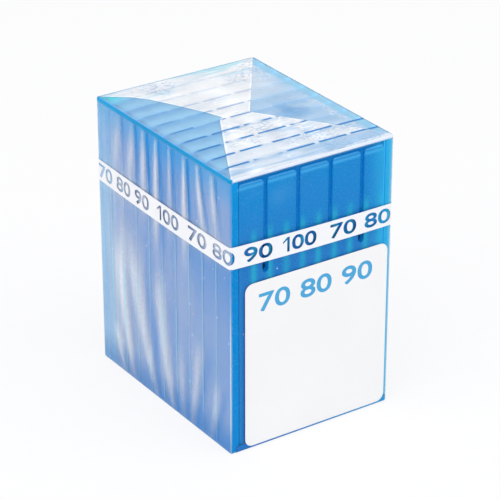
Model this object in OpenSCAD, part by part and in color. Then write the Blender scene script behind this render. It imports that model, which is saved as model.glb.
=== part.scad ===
// Film-wrapped pack of sewing machine needles.
// Slim cassettes stand one behind the other, covers to the front, each with a row of needles.
// Clear film is folded round them, with a white printed band round it and a paper label in front.
// Millimetres. +Z is up, the label faces -Y, and the origin is the middle of the underside.

/* [Cassette] */
// Width of one cassette
cassette_w = 43.5; // [42.5:0.5:50]
// Height of one cassette
cassette_h = 67.5; // [64:0.5:74]
// Depth of one cassette, cover face to back wall
cassette_t = 5.5; // [5.4:0.1:6.6]
// Number of cassettes in the pack
cassette_count = 10; // [2:1:10]
// Air between one cassette and the next
cassette_gap = 0.04; // [0.02:0.01:0.2]
// Radius of a cassette's upright edges
cassette_edge_r = 0.5; // [0.3:0.05:0.6]

/* [Tray] */
// Thickness of the tray's back wall
tray_back_t = 0.9; // [0.7:0.05:1]
// Thickness of the tray's side walls
tray_side_t = 1; // [0.8:0.05:1.2]
// Thickness of the tray's floor
tray_floor_t = 1.2; // [0.8:0.1:2]
// Width of the rail that shows beside the cover
rail_w = 2.05; // [1.8:0.05:2.4]
// Thickness of the rail's lip
rail_t = 0.8; // [0.7:0.05:0.85]
// Rounding of the rail's lower inner corner
rail_foot_r = 0.9; // [0.4:0.1:1]
// Depth of the notches that part the back wall's upper edge
crest_notch_h = 0.5; // [0.3:0.1:1]
// Thickness of the ribs that part the needles
rib_t = 0.6; // [0.4:0.05:0.9]
// Length of each bar that cradles the needles, along the needle
cradle_l = 3; // [1.5:0.5:4]
// Material left behind a needle in its cradle
cradle_web = 0.4; // [0.3:0.05:0.5]

/* [Cover] */
// Running clearance between cover and tray
slide_clear = 0.1; // [0.05:0.01:0.15]
// Slit between the rail and the raised face of the cover
face_slit = 0.2; // [0.15:0.05:0.5]
// How far the cover's face lies behind the rails
face_recess = 0.15; // [0.1:0.05:0.2]
// Depth of the grooves between the pads
groove_depth = 0.45; // [0.3:0.05:0.5]
// Width of the grooves between the pads
groove_w = 1; // [0.6:0.1:1.4]
// How far the pads and their grooves lie right of the middle
pad_shift = 0.5; // [0:0.05:0.6]
// How far the pads end below the cover's top
pad_drop = 1; // [0.5:0.1:2]
// Rounding over the pads' upper edges
pad_top_r = 0.6; // [0.45:0.05:1]
// Rounding of the pads' edges along the grooves
pad_edge_r = 0.28; // [0.1:0.02:0.3]
// Rounding of the pads' upper corners
pad_corner_r = 0.9; // [0.4:0.05:1.2]
// Thickness of the cover's edges that run under the rails
tongue_t = 0.65; // [0.5:0.05:0.7]
// Radius over the cover's upper front edge
brow_r = 1.1; // [0.9:0.1:1.4]
// Thickness of the cover's top
brow_t = 1.4; // [1.2:0.1:2]
// How far the cover's top lies below the cassette's top
top_recess = 0.7; // [0.5:0.1:1.2]
// How far the cover ends above the cassette's foot
foot_recess = 0.7; // [0.4:0.1:1.2]
// Height at which the grooves between the pads end
groove_foot_z = 49; // [46:0.5:52]
// Width of the two latch slots
slot_w = 1.6; // [0.8:0.1:1.8]
// Height of the latch slots' lower ends
slot_foot_z = 43.3; // [42:0.1:45]
// Length of the latch slots
slot_l = 7.5; // [4:0.5:9]
// Depth of the flutes inside the cover, one for each needle
flute_depth = 0.35; // [0.2:0.05:0.4]

/* [Needle] */
// Number of needles in one cassette
needle_count = 10; // [6:2:10]
// Length from butt to point
needle_l = 38.6; // [36:0.2:42]
// Diameter of the shank
shank_d = 2; // [1.6:0.02:2.1]
// Length of the shank, shoulder included
shank_l = 13; // [10:0.5:16]
// Diameter of the blade
blade_d = 1; // [0.7:0.05:1.2]
// Length of the tapered point
point_l = 3.6; // [2.5:0.1:5]
// Length of the eye
eye_l = 1.2; // [0.8:0.1:1.6]
// Width of the eye
eye_w = 0.4; // [0.25:0.05:0.45]
// Rounding of the butt's rim
butt_r = 0.6; // [0.3:0.05:0.7]
// Depth of the scarf behind the eye
scarf_depth = 0.22; // [0.1:0.02:0.3]
// Radius of the cutter that leaves the scarf
scarf_r = 8; // [5:0.5:12]
// Plain blade left between the thread groove and the shoulder
groove_runout = 1; // [0.5:0.1:3]
// Distance from the needles' butts up to the cassette's top
butt_drop = 13.5; // [12:0.5:16]
// Clearance between a needle and what holds it
needle_clear = 0.05; // [0.03:0.01:0.08]
// Air between the outer needles and the side walls
needle_margin = 0.33; // [0.33:0.01:0.6]
// How far the row of needles lies right of the middle
row_shift = 0.25; // [0:0.05:0.25]

/* [Film] */
// Thickness of the film
film_t = 0.06; // [0.04:0.01:0.1]
// Air between the film and what it wraps
film_slack = 0.03; // [0.02:0.01:0.1]
// How deep the film dips where two cassettes meet
film_dip = 0.1; // [0.04:0.02:0.12]
// Width of the film's lap seam down the back
lap_w = 9; // [6:1:14]
// How far the front and back flaps reach past the middle
flap_overlap = 1.2; // [0.5:0.1:4]
// Width of the flaps' cut ends
flap_tip_w = 10; // [6:0.5:20]
// How far the flaps' ends lie left of the middle
flap_tip_shift = 1.2; // [0:0.1:4]
// Width of the seam between the flaps underneath
seam_w = 0.4; // [0.2:0.1:1]

/* [Band and label] */
// Thickness of the printed band
band_t = 0.08; // [0.05:0.01:0.12]
// Width of the printed band
band_w = 5.3; // [4:0.1:7]
// Height of the band's middle below the top of the pack
band_drop = 19.1; // [16:0.1:21]
// Slope of the band, falling to the right
band_tilt = 1; // [0:0.1:2]
// Slope of the band, rising to the back
band_rise = 0.6; // [0:0.1:1.5]
// Thickness of the label
label_t = 0.08; // [0.05:0.01:0.12]
// Space between the label and the band's lowest point in front
label_gap = 3.8; // [2:0.1:8]
// Margin left of the label
label_left = 3.85; // [2:0.05:6]
// Margin right of the label
label_right = 1.15; // [1:0.05:6]
// Margin below the label
label_foot = 0.65; // [0.5:0.05:2]
// Radius of the label's corners
label_r = 2; // [1:0.1:3]

/* [Hidden] */
$fn = 48;
// Extra reach of a cutter past the surface that it cuts
cut = 1;
// Steps in a film corner's arc
corner_steps = 5;
// Half width of a dip in the film, as a share of the cassettes' edge radius
dip_share = 1.8;
// Overlap of the scarf's run with the plain blade above the eye
scarf_share = 0.6;
// Places along the needle's point, and the power that gives its ogive
point_places = [0.08, 0.3, 0.6, 1];
point_power = 0.8;

// Film: its layers lie on each other, and the lap seam needs one more layer of room
film_gap = film_slack + film_t;
wrap_t = film_gap + film_t;
foot_z = film_gap + 2 * film_t;
roof_z = foot_z + cassette_h + film_gap;
pack_h = roof_z + 3 * film_t;
cassette_pitch = cassette_t + cassette_gap;
stack_d = cassette_count * cassette_pitch - cassette_gap;
wrap_w = cassette_w + 2 * wrap_t;
wrap_d = stack_d + 2 * wrap_t;
flap_reach = wrap_d / 2 + flap_overlap;
dip_run = cassette_edge_r * dip_share;

// Needles, spaced so that the outer ones clear the side walls
inner_w = cassette_w - 2 * tray_side_t;
shank_r = shank_d / 2;
blade_r = blade_d / 2;
needle_pitch = (inner_w - shank_d - 2 * needle_margin) / (needle_count - 1);
needle_z = cassette_h - butt_drop - needle_l;
needle_y = cassette_t - tray_back_t - cradle_web - needle_clear - shank_r;
shoulder_l = shank_r - blade_r;
eye_z = point_l + eye_l / 2;
scarf_run = sqrt(scarf_r * scarf_r - pow(scarf_r - scarf_depth, 2));
scarf_z = point_l + eye_l + scarf_run * scarf_share;
thread_groove_r = eye_w / 2;

// Cradles: a ledge over the butts, one bar at the shank, one under the shoulder and one at the point
butt_z = needle_z + needle_l;
butt_ledge_z = butt_z + needle_clear;
butt_ledge_l = cradle_l / 2;
shank_bar_z = butt_z - shank_l / 2 - cradle_l / 2;
shoulder_bar_z = butt_z - shank_l - shoulder_l - needle_clear - cradle_l;
point_bar_z = needle_z + scarf_z + scarf_run + cradle_l / 2;

// Cover
tongue_y = rail_t + slide_clear;
cover_inner_y = tongue_y + tongue_t;
face_w = cassette_w - 2 * rail_w - 2 * face_slit;
pads = needle_count / 2;
pad_pitch = 2 * needle_pitch;
cover_top_z = cassette_h - top_recess;
brow_back_y = cassette_t - tray_back_t - slide_clear;
presser_h = needle_y - shank_r - needle_clear - cover_inner_y;
rib_front_y = needle_y - shank_r + slide_clear;
flute_r = needle_pitch / 2 - rib_t / 2;
flute_top_z = butt_z + shank_d / 2;
flute_foot_z = needle_z;

// Seats of the band and the label on the film
seat_gap = 0.02;
band_fall = wrap_w / 2 * tan(band_tilt) + wrap_d / 2 * tan(band_rise);
label_h = pack_h - band_drop - band_fall - band_w / 2 - label_gap - label_foot;

// A rectangle with rounded corners, low corner at p, size s
module rounded_rect(p, s, r) {
    translate([p[0] + r, p[1]]) square([s[0] - 2 * r, s[1]]);
    translate([p[0], p[1] + r]) square([s[0], s[1] - 2 * r]);
    for (x = [p[0] + r, p[0] + s[0] - r], y = [p[1] + r, p[1] + s[1] - r])
        translate([x, y]) circle(r = r);
}

// A flat outline in X and Z, given thickness along Y from y0 to y1
module upright(y0, y1) {
    translate([0, y1, 0]) rotate([90, 0, 0]) linear_extrude(y1 - y0) children();
}

// A flat outline in Y and Z, given width along X, centred
module across(w) {
    translate([-w / 2, 0, 0]) rotate([90, 0, 90]) linear_extrude(w) children();
}

// Places of the needles, of the ribs between them, and of the grooves between the pads
function needle_x(i) = row_shift + (i - (needle_count - 1) / 2) * needle_pitch;
function rib_x(i) = needle_x(i) + needle_pitch / 2;
function groove_x(i) = pad_shift + (i - (pads - 2) / 2) * pad_pitch;

// Puts its children at the k-th cassette, front one first
module at_cassette(k) {
    translate([0, -stack_d / 2 + (k - 1) * cassette_pitch, foot_z]) children();
}

// Tray: back wall, side walls with rails, floor, ribs and cradles
module tray_shell() {
    difference() {
        linear_extrude(cassette_h)
            rounded_rect([-cassette_w / 2, 0], [cassette_w, cassette_t], cassette_edge_r);
        // Room for the needles, open at the top
        translate([-inner_w / 2, rail_t, tray_floor_t])
            cube([inner_w, cassette_t - tray_back_t - rail_t, cassette_h]);
        // Way for the cover's edges, down through the floor
        translate([-inner_w / 2, rail_t, -cut])
            cube([inner_w, cover_inner_y + slide_clear - rail_t, cassette_h]);
        // Opening between the rails, with rounded feet
        translate([0, rail_t, 0]) rotate([90, 0, 0]) linear_extrude(rail_t + cut) rail_opening();
        crest_notches();
    }
}

module rail_opening() {
    opening_w = cassette_w - 2 * rail_w;
    translate([-opening_w / 2, -cut]) square([opening_w, cassette_h + 2 * cut]);
    for (side = [-1, 1])
        translate([side * opening_w / 2, 0]) difference() {
            square(2 * rail_foot_r, center = true);
            translate([side * rail_foot_r, rail_foot_r]) circle(r = rail_foot_r);
        }
}

module crest_notches() {
    for (i = [0:pads - 2])
        translate([groove_x(i) - groove_w / 2, cassette_t - tray_back_t - cut, cassette_h - crest_notch_h])
            cube([groove_w, tray_back_t + 2 * cut, crest_notch_h + cut]);
}

// A bar across the tray with one half-round seat of radius r for each needle
module cradle_bar(z, len, r) {
    bar_y = cassette_t - tray_back_t;
    difference() {
        translate([-inner_w / 2, needle_y, z]) cube([inner_w, bar_y - needle_y, len]);
        for (i = [0:needle_count - 1])
            translate([needle_x(i), needle_y, z - cut]) cylinder(r = r, h = len + 2 * cut);
    }
}

module tray(k) {
    back_y = cassette_t - tray_back_t;
    rib_foot_z = tray_floor_t;
    rib_top_z = butt_ledge_z + butt_ledge_l;
    color([0.05, 0.45, 0.85, 0.7]) at_cassette(k) union() {
        tray_shell();
        for (i = [0:needle_count - 2])
            translate([rib_x(i) - rib_t / 2, rib_front_y, rib_foot_z])
                cube([rib_t, back_y - rib_front_y, rib_top_z - rib_foot_z]);
        translate([-inner_w / 2, needle_y, butt_ledge_z])
            cube([inner_w, back_y - needle_y, butt_ledge_l]);
        cradle_bar(shank_bar_z, cradle_l, shank_r + needle_clear);
        cradle_bar(shoulder_bar_z, cradle_l, blade_r + needle_clear);
        cradle_bar(point_bar_z, cradle_l / 2, blade_r + needle_clear);
    }
}

// Side view of the cover in Y and Z: front wall and top, with a rounded brow
module cover_section() {
    front = face_recess + groove_depth;
    difference() {
        union() {
            translate([front, foot_recess]) square([cover_inner_y - front, cover_top_z - brow_r - foot_recess]);
            translate([front + brow_r, cover_top_z - brow_t]) square([brow_back_y - front - brow_r, brow_t]);
            translate([front + brow_r, cover_top_z - brow_r]) circle(r = brow_r);
        }
        translate([cover_inner_y, foot_recess]) square([cassette_t, cover_top_z - brow_t - foot_recess]);
    }
}

// Side view of the raised face, as deep as the front wall and rounded over its upper edge
module face_section() {
    top = cover_top_z - pad_drop;
    translate([face_recess, foot_recess]) square([cover_inner_y - face_recess, top - pad_top_r - foot_recess]);
    translate([face_recess + pad_top_r, top - pad_top_r])
        square([cover_inner_y - face_recess - pad_top_r, pad_top_r]);
    translate([face_recess + pad_top_r, top - pad_top_r]) circle(r = pad_top_r);
}

// The raised face: one field below, and pads parted by grooves above
module cover_face() {
    intersection() {
        across(face_w) face_section();
        union() {
            face_column(-face_w / 2, face_w, groove_foot_z);
            for (i = [0:pads - 1]) pad(i);
        }
    }
}

// A column with rounded upright edges, as deep as the cassette
module face_column(left, w, h) {
    linear_extrude(h) rounded_rect([left, face_recess], [w, cassette_t], pad_edge_r);
}

// A pad is rounded along its grooves and at its upper corners
module pad(i) {
    left = i == 0 ? -face_w / 2 : groove_x(i - 1) + groove_w / 2;
    right = i == pads - 1 ? face_w / 2 : groove_x(i) - groove_w / 2;
    w = right - left;
    intersection() {
        face_column(left, w, cassette_h);
        upright(0, cassette_t) rounded_rect([left, 0], [w, cover_top_z - pad_drop], pad_corner_r);
    }
}

// Latch slots at the outer grooves, each with round ends
module latch_slots() {
    for (i = [0, pads - 2])
        upright(-cut, cover_inner_y + cut) {
            translate([groove_x(i) - slot_w / 2, slot_foot_z + slot_w / 2])
                square([slot_w, slot_l - slot_w]);
            for (z = [slot_foot_z + slot_w / 2, slot_foot_z + slot_l - slot_w / 2])
                translate([groove_x(i), z]) circle(d = slot_w);
        }
}

module cover(k) {
    tongue_w = inner_w - 2 * slide_clear;
    color([0.05, 0.5, 0.9, 0.7]) at_cassette(k) difference() {
        union() {
            across(face_w) cover_section();
            cover_face();
            // Edges that run under the rails, and the top that closes the tray
            intersection() {
                across(tongue_w) cover_section();
                translate([-tongue_w / 2, tongue_y, 0]) cube([tongue_w, cassette_t, cassette_h]);
            }
            // Bar that holds the shanks in their cradle
            translate([-tongue_w / 2, tongue_y, shank_bar_z])
                cube([tongue_w, tongue_t + presser_h, cradle_l]);
        }
        flutes(flute_foot_z, shank_bar_z);
        flutes(shank_bar_z + cradle_l, flute_top_z);
        latch_slots();
    }
}

// Flutes inside the cover from z0 to z1, one over each needle
module flutes(z0, z1) {
    axis_y = cover_inner_y - flute_depth + flute_r;
    for (i = [0:needle_count - 1])
        translate([needle_x(i), axis_y, z0]) cylinder(r = flute_r, h = z1 - z0);
}

// One needle, point down at the origin: long groove to the front, scarf to the back
module needle() {
    difference() {
        rotate_extrude() polygon(needle_profile());
        translate([0, -blade_r, eye_z])
            cylinder(r = thread_groove_r, h = needle_l - shank_l - shoulder_l - groove_runout - eye_z);
        translate([0, blade_r + cut, 0]) rotate([90, 0, 0])
            linear_extrude(blade_d + 2 * cut) eye_outline();
        translate([-shank_d, blade_r - scarf_depth + scarf_r, scarf_z])
            rotate([0, 90, 0]) cylinder(r = scarf_r, h = 2 * shank_d, $fn = 160);
    }
}

module eye_outline() {
    translate([-eye_w / 2, eye_z - eye_l / 2 + eye_w / 2]) square([eye_w, eye_l - eye_w]);
    for (z = [-1, 1]) translate([0, eye_z + z * (eye_l - eye_w) / 2]) circle(d = eye_w);
}

// Half section of the needle in radius and height: ogive point, blade, shoulder, shank, rounded butt
function needle_profile() = concat(
    [[0, 0]],
    [for (s = point_places) [blade_r * sin(90 * pow(s, point_power)), point_l * s]],
    [[blade_r, needle_l - shank_l - shoulder_l], [shank_r, needle_l - shank_l]],
    [for (a = [0, 30, 60]) [shank_r - butt_r + butt_r * cos(a), needle_l - butt_r + butt_r * sin(a)]],
    [[0, needle_l]]
);

module needles(k) {
    color([0.75, 0.77, 0.8]) at_cassette(k)
        for (i = [0:needle_count - 1])
            translate([needle_x(i), needle_y, needle_z]) needle();
}

// Film's outline seen from above, g outside the cassettes: round corners, a dip at every joint
function film_arc(cx, cy, r, a0) = [
    for (s = [0:corner_steps])
        let (a = a0 + 90 * s / corner_steps) [cx + r * cos(a), cy + r * sin(a)]
];
function joint_y(k) = -stack_d / 2 + k * cassette_pitch - cassette_gap / 2;
function film_dips(x, side) = [
    for (j = [1:cassette_count - 1], s = [-1, 0, 1])
        let (k = side > 0 ? j : cassette_count - j)
        [side * (x - (s == 0 ? film_dip : 0)), joint_y(k) + side * s * dip_run]
];
function film_outline(g) =
    let (x = cassette_w / 2 + g, y = stack_d / 2 + g, r = cassette_edge_r + g)
    concat(
        film_arc(x - r, -y + r, r, -90), film_dips(x, 1),
        film_arc(x - r, y - r, r, 0),
        film_arc(-x + r, y - r, r, 90), film_dips(x, -1),
        film_arc(-x + r, -y + r, r, 180)
    );

// A flap hinged on the front edge (side -1) or the back edge (side 1), reaching to the tip line
module flap(side, reach) {
    half = wrap_w / 2 - cassette_edge_r;
    edge = side * (wrap_d / 2 - cassette_edge_r / 2);
    tip = side * (wrap_d / 2 - reach);
    left = -flap_tip_shift - flap_tip_w / 2;
    right = -flap_tip_shift + flap_tip_w / 2;
    polygon([[-half, edge], [half, edge], [right, tip], [left, tip]]);
}

module film_wrap() {
    color([0.85, 0.92, 1, 0.25]) union() {
        // Sleeve round the stack
        translate([0, 0, film_t]) linear_extrude(roof_z - film_t) difference() {
            polygon(film_outline(wrap_t));
            polygon(film_outline(film_gap));
        }
        // Lap seam down the back, its inner layer bonded to the outer one
        translate([-lap_w / 2, stack_d / 2 + film_slack, film_t])
            cube([lap_w, film_t + film_t / 2, roof_z - film_t]);
        // Top: ends tucked in first, then the back and front flaps, lapped in the middle
        translate([0, 0, roof_z]) linear_extrude(film_t) polygon(film_outline(wrap_t));
        translate([0, 0, roof_z + film_t]) linear_extrude(film_t) {
            flap(-1, flap_reach);
            flap(1, flap_reach);
        }
        translate([0, 0, roof_z + 2 * film_t]) linear_extrude(film_t) intersection() {
            flap(-1, flap_reach);
            flap(1, flap_reach);
        }
        // Underside: the same folds pressed flat, with the seam between the two flaps
        translate([0, 0, film_t]) linear_extrude(film_t) polygon(film_outline(wrap_t));
        linear_extrude(film_t) difference() {
            for (side = [-1, 1]) flap(side, flap_reach);
            translate([-wrap_w / 2, -flap_overlap - seam_w / 2]) square([wrap_w, seam_w]);
        }
    }
}

// A ring round the film, taut from corner to corner
module band_ring() {
    difference() {
        ring_outline(wrap_t + seat_gap + band_t);
        ring_outline(wrap_t + seat_gap);
    }
}

module ring_outline(g) {
    rounded_rect(
        [-cassette_w / 2 - g, -stack_d / 2 - g], [cassette_w + 2 * g, stack_d + 2 * g], cassette_edge_r + g
    );
}

module printed_band() {
    color([0.97, 0.97, 0.98]) intersection() {
        linear_extrude(pack_h) band_ring();
        translate([0, 0, pack_h - band_drop]) rotate([band_rise, band_tilt, 0])
            cube([2 * wrap_w, 2 * wrap_d, band_w], center = true);
    }
}

module label() {
    front = -wrap_d / 2 - seat_gap;
    color([0.97, 0.97, 0.98]) upright(front - label_t, front)
        rounded_rect(
            [-wrap_w / 2 + label_left, label_foot], [wrap_w - label_left - label_right, label_h], label_r
        );
}

film_wrap();
printed_band();
label();
for (k = [1:cassette_count]) {
    tray(k);
    cover(k);
    needles(k);
}
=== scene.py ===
# %% [markdown]
# A film-wrapped pack of sewing machine needles.
# Ten slim cassettes of translucent blue plastic stand one behind the other. Clear film is shrunk round
# them, a white band runs round the film, and a paper label is stuck on its front.
# The solid parts come from the packed model. This script dresses them: it gives every solid its finish,
# and it builds the film, the band and the prints as surfaces worked out with numpy.

# %% The frame, the tools and the sizes that all cells share
import math

import bpy
import bmesh
import numpy as np
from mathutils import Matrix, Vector


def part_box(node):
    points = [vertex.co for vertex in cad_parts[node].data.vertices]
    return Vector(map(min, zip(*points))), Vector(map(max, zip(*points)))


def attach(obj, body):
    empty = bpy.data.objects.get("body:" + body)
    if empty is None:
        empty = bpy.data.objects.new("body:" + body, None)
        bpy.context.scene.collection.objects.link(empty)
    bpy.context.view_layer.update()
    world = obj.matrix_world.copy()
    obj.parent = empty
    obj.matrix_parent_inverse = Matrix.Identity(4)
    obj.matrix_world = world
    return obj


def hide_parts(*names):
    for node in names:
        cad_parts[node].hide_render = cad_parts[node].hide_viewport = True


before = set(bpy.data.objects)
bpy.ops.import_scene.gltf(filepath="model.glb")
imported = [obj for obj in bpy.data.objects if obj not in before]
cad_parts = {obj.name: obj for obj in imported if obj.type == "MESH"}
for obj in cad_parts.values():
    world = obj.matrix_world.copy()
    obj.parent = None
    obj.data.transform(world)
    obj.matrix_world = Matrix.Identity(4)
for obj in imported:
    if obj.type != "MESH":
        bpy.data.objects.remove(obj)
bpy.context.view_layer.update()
MM = 0.001
BODY = "root"

film_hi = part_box("film_wrap")[1]
band_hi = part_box("printed_band")[1]
label_lo, label_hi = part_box("label")
HALF_X, HALF_Y, TOP = film_hi.x, film_hi.y, film_hi.z
# The face of the front cassette, and the step from one cassette to the next
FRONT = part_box("tray_1")[0].y
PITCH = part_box("tray_2")[0].y - FRONT
CASSETTES = sum(name.startswith("tray_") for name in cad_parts)
# The film's thickness
FILM = 0.06 * MM
print(f"pack {2000 * HALF_X:.1f} x {2000 * HALF_Y:.1f} x {1000 * TOP:.1f} mm, {CASSETTES} cassettes")

# %% [markdown]
# The camera stands where the photographer's did. Its place was solved from seven corners of the pack,
# so it is written as an aim point, two angles and a distance, with a long lens.

# %% Camera
AZIMUTH, ELEVATION = math.radians(-34.08), math.radians(26.65)
AIM = Vector((1.42, -0.99, 33.92)) * MM
DISTANCE = 533.7 * MM
FOCAL = 165.66


def backwards(azimuth, elevation):
    """The direction from the aim point to the camera: azimuth 0 looks along +Y."""
    level = math.cos(elevation)
    return Vector((math.sin(azimuth) * level, -math.cos(azimuth) * level, math.sin(elevation)))


scene = bpy.context.scene
camera = bpy.data.objects.new("camera", bpy.data.cameras.new("camera"))
scene.collection.objects.link(camera)
camera.location = AIM + backwards(AZIMUTH, ELEVATION) * DISTANCE
camera.rotation_euler = backwards(AZIMUTH, ELEVATION).to_track_quat("Z", "Y").to_euler()
camera.data.lens, camera.data.sensor_width = FOCAL, 36
camera.data.clip_start, camera.data.clip_end = 0.01, 20
scene.camera = camera
scene.view_settings.view_transform = "Standard"
scene.cycles.transparent_max_bounces = 16
print("camera at", [round(1000 * c, 1) for c in camera.location], "mm")

# %% [markdown]
# Shader maths reads best as sums. This small class wraps a node's output, and Python's operators on it
# add the Math nodes. Two shapes come up again and again: a smooth step from one place to another, and a
# bell round a place.

# %% Shader sums written as Python
def put(tree, slot, item):
    """Sets a node's input to a number, a colour, a Value or another node's output."""
    if isinstance(item, Value):
        tree.links.new(item.socket, slot)
    elif isinstance(item, bpy.types.NodeSocket):
        tree.links.new(item, slot)
    else:
        slot.default_value = item


class Value:
    """One number that changes over a surface. Operators on it add Math nodes."""

    def __init__(self, tree, socket):
        self.tree, self.socket = tree, socket

    def math(self, operation, *others):
        node = self.tree.nodes.new("ShaderNodeMath")
        node.operation = operation
        for slot, item in zip(node.inputs, (self, *others)):
            put(self.tree, slot, item)
        return Value(self.tree, node.outputs[0])

    def __add__(self, other):
        return self.math("ADD", other)

    def __sub__(self, other):
        return self.math("SUBTRACT", other)

    def __rsub__(self, other):
        return self.math("MULTIPLY", -1.0).math("ADD", other)

    def __mul__(self, other):
        return self.math("MULTIPLY", other)

    def __truediv__(self, other):
        return self.math("DIVIDE", other)

    def __pow__(self, other):
        return self.math("POWER", other)

    def __abs__(self):
        return self.math("ABSOLUTE")

    def __mod__(self, other):
        return self.math("FLOORED_MODULO", other)

    __radd__, __rmul__ = __add__, __mul__

    def clamp(self):
        return self.math("MINIMUM", 1.0).math("MAXIMUM", 0.0)

    def step(self, low, high):
        """0 at low, 1 at high and a smooth rise between; high may be the smaller number."""
        t = ((self - low) / (high - low)).clamp()
        return t * t * (3.0 - 2.0 * t)

    def bell(self, width):
        """1 where the number is 0, falling as a bell curve over width on both sides."""
        t = self / width
        return (t * t * -1.0).math("EXPONENT")


print("a value can", ", ".join(name for name in vars(Value) if not name.startswith("__")))

# %% [markdown]
# A finish is one material. Any node in it comes from one method that takes the node's type, its settings
# and its sockets. Patterns read the place on the object in metres, so they stay put when the pack turns,
# and a frosted face and a joint can be painted where they really are.


# %% A finish and its colours
class Finish:
    """A material that is built node by node, with the surface's place to hand as x, y and z."""

    def __init__(self, name):
        self.material = bpy.data.materials.new(name)
        self.material.use_nodes = True
        self.tree = self.material.node_tree
        self.tree.nodes.clear()
        self.place = self.node("ShaderNodeTexCoord").outputs["Object"]
        split = self.node("ShaderNodeSeparateXYZ", sockets={"Vector": self.place})
        self.x, self.y, self.z = (Value(self.tree, s) for s in split.outputs)

    def node(self, kind, settings=(), sockets=()):
        made = self.tree.nodes.new(kind)
        for key, item in dict(settings).items():
            setattr(made, key, item)
        for key, item in dict(sockets).items():
            put(self.tree, made.inputs[key], item)
        return made

    def value(self, node, output=0):
        return Value(self.tree, node.outputs[output])

    def facing_way(self):
        """The three parts of the surface's outward direction."""
        geometry = self.node("ShaderNodeNewGeometry")
        split = self.node("ShaderNodeSeparateXYZ", sockets={"Vector": geometry.outputs["Normal"]})
        return [Value(self.tree, s) for s in split.outputs]

    def stretched(self, scale):
        """The surface's place, scaled by three numbers, for patterns that run one way."""
        return self.node("ShaderNodeMapping", sockets={"Vector": self.place, "Scale": scale}).outputs[0]

    def noise(self, scale, detail=2.0, vector=None):
        return self.value(self.node("ShaderNodeTexNoise", sockets={
            "Vector": self.place if vector is None else vector, "Scale": scale, "Detail": detail}))

    def mix(self, factor, first, second):
        """Blends two colours by a factor, through a Mix node."""
        node = self.node("ShaderNodeMix", {"data_type": "RGBA"})
        for slot, item in zip((0, 6, 7), (factor, first, second)):
            put(self.tree, node.inputs[slot], item)
        return node.outputs[2]

    def bump(self, height, distance, strength=1.0):
        return self.node("ShaderNodeBump", sockets={
            "Height": height, "Distance": distance, "Strength": strength}).outputs[0]

    def done(self, shader):
        self.node("ShaderNodeOutputMaterial", sockets={"Surface": shader.outputs[0]})
        return self.material


def paint(r, g, b):
    """A screen colour, 0 to 255 in each channel, as the linear colour that a shader takes."""
    def linear(c):
        c = c / 255
        return c / 12.92 if c <= 0.04045 else ((c + 0.055) / 1.055) ** 2.4
    return (linear(r), linear(g), linear(b), 1.0)


print("a finish can", ", ".join(name for name in vars(Finish) if not name.startswith("__")))

# %% [markdown]
# Studio light: a white world and three wide, soft lamps. The floor takes the pack's shadow, and camera,
# mirror and glass rays see it mostly as plain white paper, which keeps the background pale.

# %% World, lamps and floor
AMBIENT = 0.58
FLOOR_GLOW = 0.84
FLOOR_COLOUR = paint(252, 252, 253)


def seen_share(tree, path):
    """1 for rays from the camera, a mirror or glass, and 0 for rays that carry light to a surface."""
    rays = [Value(tree, path.outputs[n]) for n in ("Is Camera Ray", "Is Glossy Ray", "Is Transmission Ray")]
    return (rays[0] + rays[1] + rays[2]).clamp()


def make_world():
    world = bpy.data.worlds.new("studio")
    world.use_nodes = True
    tree = world.node_tree
    tree.nodes.clear()
    seen = seen_share(tree, tree.nodes.new("ShaderNodeLightPath"))
    sky = tree.nodes.new("ShaderNodeBackground")
    sky.inputs["Color"].default_value = (1, 1, 1, 1)
    put(tree, sky.inputs["Strength"], seen * (1.0 - AMBIENT) + AMBIENT)
    out = tree.nodes.new("ShaderNodeOutputWorld")
    tree.links.new(sky.outputs[0], out.inputs["Surface"])
    scene.world = world


def make_lamp(name, azimuth, elevation, distance, size, power):
    """A square soft lamp on a sphere round the pack, turned to face it."""
    lamp = bpy.data.lights.new(name, "AREA")
    lamp.shape, lamp.size, lamp.energy = "SQUARE", size, power
    holder = bpy.data.objects.new(name, lamp)
    back = backwards(math.radians(azimuth), math.radians(elevation))
    holder.location = Vector((0, 0, TOP / 2)) + back * distance
    holder.rotation_euler = back.to_track_quat("Z", "Y").to_euler()
    scene.collection.objects.link(holder)


def make_floor():
    """A white card, 12 m square, under the pack."""
    side = 6.0
    mesh = bpy.data.meshes.new("floor")
    corners = [(-side, -side, 0), (side, -side, 0), (side, side, 0), (-side, side, 0)]
    mesh.from_pydata(corners, [], [(0, 1, 2, 3)])
    floor = bpy.data.objects.new("floor", mesh)
    scene.collection.objects.link(floor)
    card = Finish("floor_card")
    matt = card.node("ShaderNodeBsdfDiffuse", sockets={"Color": FLOOR_COLOUR})
    glow = card.node("ShaderNodeEmission", sockets={"Color": FLOOR_COLOUR, "Strength": 1.0})
    share = seen_share(card.tree, card.node("ShaderNodeLightPath")) * FLOOR_GLOW
    mesh.materials.append(card.done(card.node("ShaderNodeMixShader", sockets={
        0: share, 1: matt.outputs[0], 2: glow.outputs[0]})))


make_world()
make_lamp("key", -75, 50, 0.9, 0.7, 3.0)
make_lamp("fill", 40, 40, 1.0, 0.8, 2.4)
make_lamp("over", 0, 84, 1.0, 0.8, 2.4)
make_floor()
print("studio ready")

# %% [markdown]
# The cassettes are moulded in clear blue polystyrene with a fine frosted face. Light that enters at one
# edge leaves at another, so thick runs such as the rails and grooves glow in a purer blue than the thin
# pads, and the side nearest the light turns cyan. Glass shading through ten layers rendered grey and
# grainy, so the look, its light and shade too, is painted by place: across, along the depth of one
# cassette, and up. The needles show through the cover as soft teal streaks below their butts.

# %% Places on a cassette
NEEDLE_PITCH = 4.3165 * MM
NEEDLE_ROW = -0.45 * MM
BUTTS = 54.2 * MM
# The ridge at the head of the cover, half the cover's width, and the rail's outer face
BROW = 65.0 * MM
COVER_HALF = 20.0 * MM
RAIL_FACE = 21.4 * MM


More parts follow.
